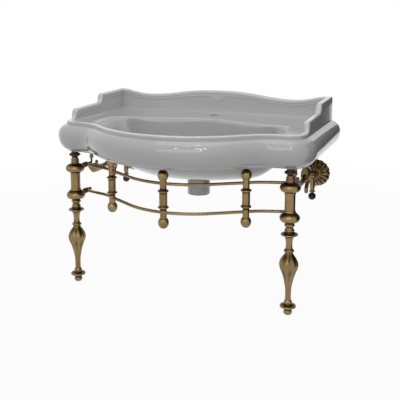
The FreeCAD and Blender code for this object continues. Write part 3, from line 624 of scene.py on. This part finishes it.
    # inside face of the wall: a plain panel, then two bands that stand out in steps up to the top,
    # the lower of which dips at the cusp
    deckRows = len(rows)
    panel = 26.0
    plainRows = 7
    bands = np.arange(25.0, 9.0, -0.75)
    lowest = tall - footR
    base = np.concatenate([np.full(plainRows, panel), bands, [8.0]])
    for k, d in enumerate(base):
        even = lowest - (lowest - roundR) * (k + 1) / (len(base) + 1)
        share = max(plainRows - k, 0) / (plainRows + 1)
        wanted = d + cusp * smoothStep(d, 12.0, 21.0) + share * (lowest - panel - cusp)
        drop = full * wanted + (1 - full) * even
        standing = sum(1.0 - smoothStep(d, low, high) for low, high in look["bandEdges"])
        relief = look["bandRelief"] * standing * full
        rows.append(placed(-thick - relief, top - drop, thick + relief))
    crown = np.minimum(thick / 2 - 1.0, roundR)
    thickTop = thick + 2.0 * look["bandRelief"] * full
    for a in np.radians([10.0, 35.0, 60.0, 80.0]):
        inset = thickTop - crown * (1 - math.cos(a))
        rows.append(placed(-inset, top - roundR * (1 - math.sin(a)), inset))
    wallRows = len(rows)
    rows.append(placed(-thick * 0.5, top, thick * 0.5))
    for a in np.radians([80.0, 60.0, 35.0, 10.0]):
        inset = crown * (1 - math.cos(a))
        rows.append(placed(-inset, top - roundR * (1 - math.sin(a)), inset))
    for f in (0.25, 0.5, 0.72, 0.88, 0.97):
        rows.append(placed(0.0, (top - roundR) * (1 - f) + (look["rollHigh"] + 0.8) * f))
    # the roll is an arc above its widest line, and the same arc stretched downwards below it
    halfTall = look["rollHigh"] - look["rollMiddle"]
    stretch = (look["rollMiddle"] - look["rollLow"]) / halfTall
    radius = (halfTall ** 2 + look["rollReach"] ** 2) / (2 * look["rollReach"])
    limit = math.asin(halfTall / radius)
    for a in np.linspace(limit, -limit, 41):
        n = look["rollReach"] - radius * (1 - math.cos(a))
        rows.append(placed(n, look["rollMiddle"] + radius * math.sin(a) * (1.0 if a > 0 else stretch)))
    taperFrom = look["taperFrom"]
    grown = np.clip((line[:, 1] - taperFrom) / (wallLine - taperFrom), 0, 1)
    taper = np.where(isBack, -look["taper"], np.where(onSide, -look["taper"] * grown, 0.0))
    for n, z in ((0.0, 469.6), (0.0, 469.1), (0.0, 468.6), (-0.6, 467.6), (-2.0, 467.0)):
        rows.append(placed(taper + n, z))
    for n, z in ((-look["rimWall"] + 1.0, 467.0), (-look["rimWall"], 468.0), (-look["rimWall"], 500.0),
                 (-look["rimWall"], 545.0), (-look["rimWall"] - 4.0, look["deckUnder"])):
        rows.append(placed(n, z, -n))
    shellTop = bowlRow(shellLevels, 0.0, look["bowlWall"], look["deckUnder"], spigotR)
    inner = rows[-1]
    rows.append(inner + (shellTop - inner) * 0.5)
    for q in np.concatenate([np.linspace(0.02, 0.84, 14), np.linspace(0.88, 1.0, 6)]):
        z = look["deckUnder"] - q * (look["deckUnder"] - bowlBottom + look["bowlWall"])
        rows.append(bowlRow(shellLevels, q, look["bowlWall"], z, spigotR + 3.0 * (1 - q)))
    end = look["spigotEnd"]
    for r, z in ((spigotR, bowlBottom - 18.0), (spigotR, end + 2.0), (spigotR - 1.5, end),
                 (boreR + 1.0, end), (boreR, end + 1.5)):
        rows.append(ring(r, z))
    points = np.stack(rows)
    # the share of painted light for the glaze's paler grey: faint in the bowl, rising over the deck and up
    # the wall's inside, nought outside
    turnsAt = [0, bowlRows, deckRows, wallRows, wallRows + 5]
    paintedLightShare = np.interp(np.arange(len(rows)), turnsAt, [0.15, 0.15, 0.5, 1.0, 0.0])
    return dict(points=points, mark=paintedLightShare[:, None] * np.ones(count), wrap=True)


# radius and the two ends of each bore
basinBores = dict(
    tapBore=(17.5, (0, 240, 530), (0, 240, 575)),
    overflowBore=(6.0, (-290, -35, 549), (-338, -35, 539)),
    leftFixing=(7.0, (-140, 280, 511), (-140, 315, 511)),
    rightFixing=(7.0, (140, 280, 511), (140, 315, 511)),
)


def cylinderCutter(name, radius, start, end):
    # a hidden cylinder between two points that cuts a bore
    a, b = Vector(start) * 0.001, Vector(end) * 0.001
    axis = b - a
    bpy.ops.mesh.primitive_cylinder_add(radius=radius * 0.001, depth=axis.length, vertices=48)
    tool = bpy.context.object
    turn = axis.to_track_quat("Z", "Y").to_matrix().to_4x4()
    turn.translation = (a + b) / 2
    tool.data.transform(turn)
    tool.name = name
    tool.hide_render = True
    tool.hide_viewport = True
    return tool


def basin():
    # the skin, less its bores
    piece = makePiece("basinCasting", [basinSurface()], glaze, ["basin"], sharp=42.0)
    for name, (radius, start, end) in basinBores.items():
        cut = piece.modifiers.new(name, "BOOLEAN")
        cut.operation = "DIFFERENCE"
        cut.solver = "EXACT"
        cut.object = cylinderCutter(name, radius, start, end)


basin()
print("basin made")


# the legs

# height of each turning's foot above the floor and its profile from there up
turnings = {
    "foot": (16.3, traced([(11.5, 0.0), (12.4, 5.2), (24.5, 9.7), (25.6, 12.3, 24.5, 14.9), (15.0, 16.7),
                           (12.5, 19.7)])),
    "baluster": (36.0, curved([
        (12.5, 0.0), (13.0, 6.7), (9.6, 14.0), (9.2, 26.0), (9.2, 33.5), (10.0, 50.0), (12.4, 64.0),
        (16.8, 84.0), (22.8, 102.0), (28.5, 116.0), (30.7, 126.5), (29.6, 135.0), (25.0, 145.5),
        (18.3, 155.0), (13.9, 161.5), (11.6, 166.5)])),
    "shaft": (202.5, traced([(11.6, 0.0), (14.0, 2.3), (16.4, 5.5, 14.0, 8.9), (11.6, 11.5),
                             (10.2, 27.8, 13.0, 45.5), (14.5, 49.5)])),
    "collar": (252.0, traced([
        (14.5, 0.0), (16.5, 3.5), (25.6, 6.4), (27.0, 8.6, 25.8, 10.4), (17.5, 13.0, 14.2, 19.0),
        (15.6, 21.7, 14.2, 24.5), (12.0, 28.5, 12.6, 32.5), (15.2, 35.0), (16.2, 38.0, 15.0, 41.0),
        (12.8, 45.0)])),
    "lower_bulb": (297.0, traced([(12.8, 0.0), (20.0, 3.0), (31.6, 16.0, 26.5, 26.0), (22.0, 30.2),
                                  (18.0, 33.0)])),
    "column": (330.0, traced([(18.0, 0.0), (18.6, 2.0, 18.0, 4.0), (16.4, 5.5), (16.4, 56.0), (17.4, 57.0),
                              (17.9, 58.8, 17.4, 60.6), (16.4, 63.0)])),
    "upper_bulb": (393.0, traced([(16.4, 0.0), (20.5, 2.0), (32.2, 14.5, 26.5, 24.5), (20.0, 28.4),
                                  (12.4, 31.0)])),
    "neck": (424.0, traced([(12.4, 0.0), (12.8, 3.0), (14.6, 6.4, 12.8, 9.0), (12.0, 10.0),
                            (13.9, 13.0, 12.0, 16.0), (10.4, 19.6, 12.6, 24.0), (16.0, 28.0)])),
}
padProfile = traced([(17.4, 452.2), (19.3, 453.6, 19.3, 455.4), (17.2, 457.6, 12.4, 460.4), (11.0, 464.0),
                     (11.0, 466.9)])
glideProfile = traced([(6.0, 0.0), (13.7, 8.8, 11.5, 15.9), (5.0, 15.9), (5.0, 42.0)])
legBores = dict(rod=5.2, glide=5.06)


def fluted(turn, height):
    # eight lobes that meet in creases, by 1 less the cosine's size, deepest round the belly, that
    # fade down the taper
    fade = smoothStep(height, 50.0, 125.0) * (1.0 - smoothStep(height, 197.0, 202.0))
    return 1.0 - 0.085 * fade * (1.0 - np.abs(np.cos(turn * 4.0)))


def leg(side, label):
    # the turnings threaded on the rod, the pad on top and the glide, which rides on its own body
    place = (side * legSide, legLine)
    for name, (foot, steps) in turnings.items():
        bore = legBores["glide" if name == "foot" else "rod"]
        shape = dict(around=96, wave=fluted) if name == "baluster" else {}
        grid = lathe(steps + [0.0, foot], place, bore=bore, **shape)
        makePiece(label + "Leg_" + name, [grid], brass, [label + "_leg_" + name])
    pad = lathe(padProfile, place, bore=legBores["rod"])
    makePiece(label + "LegPad", [pad], rubber, [label + "_leg_pad"])
    glide = lathe(glideProfile, place)
    makePiece(label + "Glide", [glide], brass, [label + "_glide"], body=label + "_glide")


for side, label in ((-1, "left"), (1, "right")):
    leg(side, label)
print("legs made")


# the rails and posts

railLook = dict(bowTurn=32.6, endTurn=17.0, bowR=260.0, sweepR=150.0, bowOut=100.0, endIn=9.6, endBack=52.0,
                barR=4.95, upper=409.0, lower=316.0, postSide=237.0, topBall=436.0, bottomBall=282.0)


def railLine():
    # plan of the rails: an arc across the front, straight flanks and a sweep back past each leg
    look = railLook
    t, e = math.radians(look["bowTurn"]), math.radians(look["endTurn"])
    bowR, sweepR = look["bowR"], look["sweepR"]
    centre = np.array([0.0, legLine - look["bowOut"] + bowR])
    bowEnd = centre + bowR * np.array([math.sin(t), -math.cos(t)])
    end = np.array([bracketSide - look["endIn"], legLine + look["endBack"]])
    turn = np.array([math.sin(t) - math.sin(e), math.cos(e) - math.cos(t)]) * sweepR
    rest = end - bowEnd - turn
    run = (rest[0] * math.sin(e) - rest[1] * math.cos(e)) / math.sin(e - t)
    sweepStart = bowEnd + run * np.array([math.cos(t), math.sin(t)])
    sweepCentre = sweepStart + np.array([math.sin(t), -math.cos(t)]) * sweepR
    sweepEnd = sweepStart + turn
    a = np.linspace(0, t, 40)[:, None]
    bow = centre + bowR * np.concatenate([np.sin(a), -np.cos(a)], 1)
    first, last = (math.atan2(*(q - sweepCentre)[::-1]) for q in (sweepStart, sweepEnd))
    a = np.linspace(first, last, 18)[:, None]
    bend = sweepCentre + sweepR * np.concatenate([np.cos(a), np.sin(a)], 1)
    straight = bowEnd + (sweepStart - bowEnd) * np.linspace(0, 1, 12)[1:-1, None]
    tail = sweepEnd + (end - sweepEnd) * np.linspace(0, 1, 6)[1:, None]
    half = np.concatenate([bow, straight, bend, tail])
    return np.concatenate([half[:0:-1] * [-1.0, 1.0], half]), bowEnd, sweepStart


railPlan, bowEnd, sweepStart = railLine()


def rail(label, z):
    # a round bar along the plan at one height
    centres = np.concatenate([railPlan, np.full((len(railPlan), 1), z)], 1)
    along = np.gradient(centres, axis=0)
    along /= np.linalg.norm(along, axis=1)[:, None]
    up = np.tile([0.0, 0.0, 1.0], (len(centres), 1))
    radius = np.full(len(centres), railLook["barR"])
    grid = sweep(centres, np.cross(along, up), up, radius, radius, around=28)
    makePiece(label + "Rail", [grid], brass, [label + "_rail"])


def post(label, x, y):
    # plain shaft with a sleeve between two collars, and a ball at each end
    steps = [(10.75, 297.5), (10.75, 330.3), (15.8, 330.5), (17.4, 333.0, 15.8, 335.5), (12.75, 335.7),
             (12.75, 382.3), (15.8, 382.5), (17.4, 385.0, 15.8, 387.5), (10.75, 387.7), (10.75, 421.0)]
    makePiece(label + "Post", [lathe(traced(steps), (x, y))], brass, [label + "_post"])
    neck = 15.25
    half = traced([(10.9, -neck), (12.6, -neck + 0.4), (17.2, -1.0, 12.0, 12.4), (8.0, 15.6, 0.6, 17.2)])
    for name, z, up in (("top", railLook["topBall"], 1.0), ("bottom", railLook["bottomBall"], -1.0)):
        profile = np.stack([half[:, 0], z + up * half[:, 1]], -1)
        node = label + "_post_" + name + "_ball"
        makePiece(label + "Post_" + name, [lathe(profile, (x, y))], brass, [node])


rail("upper", railLook["upper"])
rail("lower", railLook["lower"])
slope = (sweepStart[1] - bowEnd[1]) / (sweepStart[0] - bowEnd[0])
postSide = railLook["postSide"]
postLine = bowEnd[1] + (postSide - bowEnd[0]) * slope
for label, x, y in (("left", -postSide, postLine), ("middle", 0.0, legLine - railLook["bowOut"]),
                    ("right", postSide, postLine)):
    post(label, x, y)
print("rails and posts made")


# the wall brackets

bracketLook = dict(wallAxis=364.0, legAxis=395.0, studAxis=409.0, knobAt=18.0, strutAt=-17.0, pendantAt=244.0,
                   ballAt=292.0, ballR=13.4)


def rosette(x):
    # dome of sixteen radial folds that deepen outwards and scallop the rim
    radius = np.concatenate([[6.6], np.linspace(8.0, 48.5, 34), [49.6, 49.8, 48.0, 6.6]])
    depth = throughPoints(radius, [0, 13, 22, 31, 42, 50], [19.6, 19.6, 18.9, 16.9, 11.8, 5.6])
    depth[-2:] = 0.4
    depth[-3] = 2.5
    turn = np.linspace(0, 2 * math.pi, 192, endpoint=False)
    fold = smoothStep(radius, 10.0, 26.0)[:, None]
    fold[-3:] = 0.0
    wave = np.abs(np.cos(turn * 8.0))[None, :] ** 0.7
    small = np.abs(np.cos(turn * 24.0))[None, :]
    out = np.clip(depth[:, None] - fold * (4.6 * (1 - wave) + 1.3 * (1 - small)), 0.3, 19.8)
    scallop = 1.0 - 0.05 * smoothStep(radius, 30.0, 50.0)[:, None] * (1 - wave)
    spread = radius[:, None] * scallop
    z = bracketLook["wallAxis"] + spread * np.sin(turn)
    points = np.stack([x + spread * np.cos(turn), wallLine - out, z], -1)
    # the mark darkens the folds, partly patina and partly painted shade, and the middle in full as a painted
    # shadow where the arm meets the rosette
    centre = 1.0 - smoothStep(radius, 8.0, 13.0)[:, None]
    mark = np.clip(fold * ((1 - wave) * 0.75 + (1 - small) * 0.3) + centre, 0, 1)
    return dict(points=points, mark=mark * np.ones((len(radius), 192)), wrap=True)


def leafy(folds, depth):
    # folds along a limb, by 1 less the cosine's size, strongest in its middle
    def wave(turn, along):
        fade = smoothStep(along, 0.0, 0.15) * (1.0 - 0.4 * smoothStep(along, 0.7, 1.0))
        return 1.0 - depth * fade * (1.0 - np.abs(np.cos(turn * folds / 2.0)))
    return wave


def bracket(side, label):
    # from the wall: rosette, arm, ribbed cuff, and the scroll with its stud to the leg; then the knob,
    # the strut up to the basin, the pendant with its ball, and the curled leaf
    look = bracketLook
    x = side * bracketSide
    made = [(label + "WallRosette", [rosette(x)], brass, label + "_wall_rosette", "brass")]
    s = np.linspace(0, 1, 46)
    y = 139.0 + s * 151.0
    stations = [0, 0.30, 0.62, 0.85, 1.0]
    fall = look["legAxis"] - look["wallAxis"]
    z = look["legAxis"] - fall * throughPoints(s, stations, [0, 0.20, 0.72, 0.97, 1.0])
    wide = 13.8 * throughPoints(s, stations, [0.92, 1.0, 0.86, 0.86, 0.92])
    tall = 27.6 * throughPoints(s, stations, [0.90, 0.76, 0.54, 0.46, 0.47])
    centres, across, up = inPlane(x, np.stack([y, z], -1))
    arm = sweep(centres, across, up, wide, tall, around=64, wave=leafy(14, 0.10))
    made.append((label + "BracketArm", [arm], brass, label + "_bracket_arm", "brass"))
    s = np.linspace(0, 1, 61)
    y = 115.0 + s * 24.0
    ribs = 0.86 + 0.14 * np.abs(np.sin((0.06 + 0.88 * s) * 3 * math.pi)) ** 0.6
    centres, across, up = inPlane(x, np.stack([y, look["legAxis"] + 0 * y], -1))
    # the grooves between the ribs are darkened, partly patina and partly painted shade
    shade = np.clip((1 - ribs) * 8, 0, 1)[:, None] * np.ones(56)
    cuff = sweep(centres, across, up, 13.9 * ribs, 27.8 * ribs, around=56, mark=shade)
    made.append((label + "BracketRing", [cuff], brass, label + "_bracket_ring", "brass"))
    y = np.linspace(-47.5, 116.0, 60)
    upper = throughPoints(y, [-48, -30, -12, 18, 42, 70, 103, 119], [413, 412, 405, 399, 391, 389, 395, 401])
    lower = throughPoints(y, [-48, -41, -26, -5, 27, 60, 101, 119], [404, 399, 383, 369, 367, 370, 376, 382])
    thickness = throughPoints(y, [-48, -30, 0, 60, 116], [4.0, 6.5, 8.8, 8.8, 8.0])
    centres, across, up = inPlane(x, np.stack([y, (upper + lower) / 2], -1))
    up = np.tile([0.0, 0.0, 1.0], (len(y), 1))
    scroll = sweep(centres, across, up, thickness, (upper - lower) / 2, around=56, wave=leafy(12, 0.09))
    turn = np.linspace(0, 2 * math.pi, 24, endpoint=False)
    pinY = np.array([-99.0, -99.0, -20.0, -20.0])[:, None]
    pinR = np.array([0.0, 4.95, 4.95, 0.0])[:, None]
    pin = np.stack([x + pinR * np.cos(turn), pinY + 0 * turn, look["studAxis"] + pinR * np.sin(turn)], -1)
    pin = dict(points=pin, mark=np.zeros((4, 24)), wrap=False)
    made.append((label + "BracketScroll", [scroll, pin], brass, label + "_bracket_scroll", "brass"))
    steps = [(3.0, 391.0), (3.2, 397.0), (6.0, 405.0, 0.4, 410.9)]
    knob = lathe(traced(steps), (x, look["knobAt"]), around=40)
    made.append((label + "BracketKnob", [knob], brass, label + "_bracket_knob", "brass"))
    steps = [(3.8, 412.0), (3.9, 423.0), (7.3, 427.2), (7.4, 430.0), (6.0, 433.0), (5.4, 447.0, 6.3, 461.0),
             (9.4, 463.0), (9.5, 466.9)]
    strut = lathe(traced(steps), (x, look["strutAt"]), around=40)
    made.append((label + "BracketStrut", [strut], brass, label + "_bracket_strut", "brass"))
    steps = [(6.0, 303.6), (6.0, 307.0), (10.8, 308.6), (10.9, 311.2), (7.0, 313.5),
             (9.5, 332.0, 7.6, 350.0), (6.9, 358.0)]
    pendant = lathe(traced(steps), (x, look["pendantAt"]), around=48)
    made.append((label + "BracketPendant", [pendant], brass, label + "_bracket_pendant", "brass"))
    drop = ball((x, look["pendantAt"], look["ballAt"]), look["ballR"])
    drop = dict(points=drop, mark=np.zeros(drop.shape[:2]), wrap=False)
    made.append((label + "PendantBall", [drop], darkBall, label + "_pendant_ball", "dark_ball"))
    s = np.linspace(0, 1, 40)
    y = throughPoints(s, [0, 0.25, 0.5, 0.72, 0.88, 1.0], [170, 155.5, 146.5, 146.0, 151.5, 156.0])
    z = throughPoints(s, [0, 0.25, 0.5, 0.72, 0.88, 1.0], [372, 355.0, 340.0, 330.0, 327.5, 331.0])
    centres, across, up = inPlane(x, np.stack([y, z], -1))
    wide = 6.9 * throughPoints(s, [0, 0.3, 0.8, 1.0], [0.75, 1.0, 0.9, 0.5])
    deep = throughPoints(s, [0, 0.3, 0.8, 1.0], [5.0, 3.8, 3.2, 2.2])
    leaf = sweep(centres, across, up, wide, deep, around=40, wave=leafy(6, 0.14))
    made.append((label + "BracketLeaf", [leaf], brass, label + "_bracket_leaf", "brass"))
    for name, grids, material, node, slotName in made:
        makePiece(name, grids, material, [node])


for side, label in ((-1, "left"), (1, "right")):
    bracket(side, label)
print("brackets made")

for node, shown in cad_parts.items():
    shown.data.materials.clear()
    shown.data.materials.append(steel if node.endswith("_rod") else brass)


# floor, lamps, world and camera

floorMesh = bpy.data.meshes.new("floor")
floorMesh.from_pydata([(-9, -9, 0), (9, -9, 0), (9, 9, 0), (-9, 9, 0)], [], [(0, 1, 2, 3)])
floorMesh.materials.append(floorMaterial())
floor = bpy.data.objects.new("floor", floorMesh)
bpy.context.scene.collection.objects.link(floor)

lamps = dict(
    pane=dict(azimuth=27.0, height=43.0, away=3.0, size=(0.55, 0.10), radiance=24.0),
    paneHigh=dict(azimuth=27.0, height=77.0, away=3.0, size=(0.15, 0.12), radiance=24.0),
    sidePane=dict(azimuth=-1.0, height=43.0, away=3.0, size=(0.20, 0.10), radiance=24.0),
    sidePaneHigh=dict(azimuth=-1.0, height=77.0, away=3.0, size=(0.06, 0.12), radiance=24.0),
    gap=dict(azimuth=27.0, height=34.0, away=3.0, size=(0.07, 0.9), radiance=6.0),
    sill=dict(azimuth=14.0, height=8.0, away=3.2, size=(5.0, 0.04), radiance=3.0),
    key=dict(azimuth=5.0, height=24.0, away=3.2, size=(2.4, 1.0), radiance=1.5),
    overhead=dict(azimuth=0.0, height=88.0, away=2.5, size=(2.0, 2.0), radiance=0.9),
)
lampAim = Vector((0.0, -0.05, 0.5))
# a dark screen beside the basin's right end, which shades it and stands in its reflection
screenLook = dict(x=0.78, y=(-0.1, 2.2), z=(0.02, 1.0))
worldLook = dict(room=0.56, white=1.0)
cameraLook = dict(place=(0.8538, -2.0667, 0.9106), yaw=21.52, pitch=9.13, focal=674.7, picture=400.0,
                  sensor=36.0, shift=-0.18)


def lamp(name, look):
    # a rectangle at an azimuth from the front and a height above the horizon that faces the basin;
    # its power is its radiance times pi times its area
    data = bpy.data.lights.new(name, "AREA")
    data.shape = "RECTANGLE"
    data.size, data.size_y = look["size"]
    data.energy = look["radiance"] * math.pi * look["size"][0] * look["size"][1]
    lampObject = bpy.data.objects.new(name, data)
    a, e = math.radians(look["azimuth"]), math.radians(look["height"])
    direction = Vector((math.sin(a) * math.cos(e), -math.cos(a) * math.cos(e), math.sin(e)))
    lampObject.location = lampAim + direction * look["away"]
    lampObject.rotation_mode = "QUATERNION"
    lampObject.rotation_quaternion = direction.to_track_quat("Z", "Y")
    bpy.context.scene.collection.objects.link(lampObject)


def screen(name, look, cloth):
    # an upright rectangle across X that the camera doesn't see
    (y0, y1), (z0, z1) = look["y"], look["z"]
    corners = [(look["x"], y, z) for y, z in ((y0, z0), (y1, z0), (y1, z1), (y0, z1))]
    mesh = bpy.data.meshes.new(name)
    mesh.from_pydata(corners, [], [(0, 1, 2, 3)])
    mesh.materials.append(cloth)
    shown = bpy.data.objects.new(name, mesh)
    bpy.context.scene.collection.objects.link(shown)
    shown.visible_camera = False


for name, look in lamps.items():
    lamp(name, look)
darkCloth = darkMaterial("darkCloth", (0.02, 0.018, 0.016, 1), (0.03, 0.028, 0.026, 1), 0.7, 0.0, 40.0)
screen("rightScreen", screenLook, darkCloth)

world = bpy.data.worlds.new("studio")
bpy.context.scene.world = world
w = Graph(world)
room = w.out("ShaderNodeBackground", {"Color": (1, 1, 1, 1), "Strength": worldLook["room"]})
white = w.out("ShaderNodeBackground", {"Color": (1, 1, 1, 1), "Strength": worldLook["white"]})
sky = w.out("ShaderNodeMixShader", {0: w.background(), 1: room, 2: white})
w.add("ShaderNodeOutputWorld", {"Surface": sky})

camera = bpy.data.objects.new("camera", bpy.data.cameras.new("camera"))
bpy.context.scene.collection.objects.link(camera)
bpy.context.scene.camera = camera
yaw, pitch = math.radians(cameraLook["yaw"]), math.radians(cameraLook["pitch"])
camera.location = cameraLook["place"]
forward = Vector((-math.sin(yaw) * math.cos(pitch), math.cos(yaw) * math.cos(pitch), -math.sin(pitch)))
camera.rotation_mode = "QUATERNION"
camera.rotation_quaternion = forward.to_track_quat("-Z", "Y")
camera.data.sensor_width = cameraLook["sensor"]
camera.data.lens = cameraLook["focal"] / cameraLook["picture"] * cameraLook["sensor"]
camera.data.shift_y = cameraLook["shift"]

bpy.context.scene.view_settings.view_transform = "Standard"

print("scene made")
